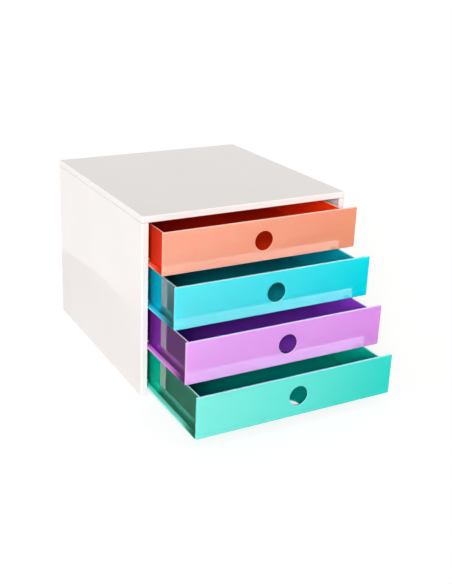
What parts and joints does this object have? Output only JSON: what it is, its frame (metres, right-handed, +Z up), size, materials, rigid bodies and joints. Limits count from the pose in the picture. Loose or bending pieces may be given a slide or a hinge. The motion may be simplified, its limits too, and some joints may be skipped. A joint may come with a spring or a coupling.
{
  "type": "scrapbook paper storage drawers",
  "caption": "White desktop case with a stack of wide shallow coloured drawers for square scrapbook paper, each with a round finger hole in its front.",
  "frame": {"origin": "middle of the case's flat underside, 1.5 mm above the surface that the feet stand on", "axes": "+Z up, -Y towards the front, where the drawers pull out, +X to the right seen from the front"},
  "size_m": [0.36, 0.5364, 0.2955],
  "materials": {
    "case_white": "glossy white moulded plastic",
    "foot_rubber": "soft grey-black rubber",
    "coral": "glossy coral moulded plastic",
    "turquoise": "glossy turquoise moulded plastic",
    "lilac": "glossy lilac moulded plastic",
    "mint": "glossy mint moulded plastic"
  },
  "bodies": {
    "case": {"top_cover": "case_white", "base_panel": "case_white", "left_side_panel": "case_white", "right_side_panel": "case_white", "back_panel": "case_white", "front_left_foot": "foot_rubber", "front_right_foot": "foot_rubber", "rear_left_foot": "foot_rubber", "rear_right_foot": "foot_rubber"},
    "coral_drawer": {"coral_drawer": "coral"},
    "turquoise_drawer": {"turquoise_drawer": "turquoise"},
    "lilac_drawer": {"lilac_drawer": "lilac"},
    "mint_drawer": {"mint_drawer": "mint"}
  },
  "joints": [
    {"name": "coral_slide", "type": "slide", "parent": "case", "child": "coral_drawer", "axis": [0, -1, 0], "range_m": [-0.0487, 0.2013]},
    {"name": "turquoise_slide", "type": "slide", "parent": "case", "child": "turquoise_drawer", "axis": [0, -1, 0], "range_m": [-0.0911, 0.1589]},
    {"name": "lilac_slide", "type": "slide", "parent": "case", "child": "lilac_drawer", "axis": [0, -1, 0], "range_m": [-0.13, 0.12]},
    {"name": "mint_slide", "type": "slide", "parent": "case", "child": "mint_drawer", "axis": [0, -1, 0], "range_m": [-0.1664, 0.0836]}
  ]
}
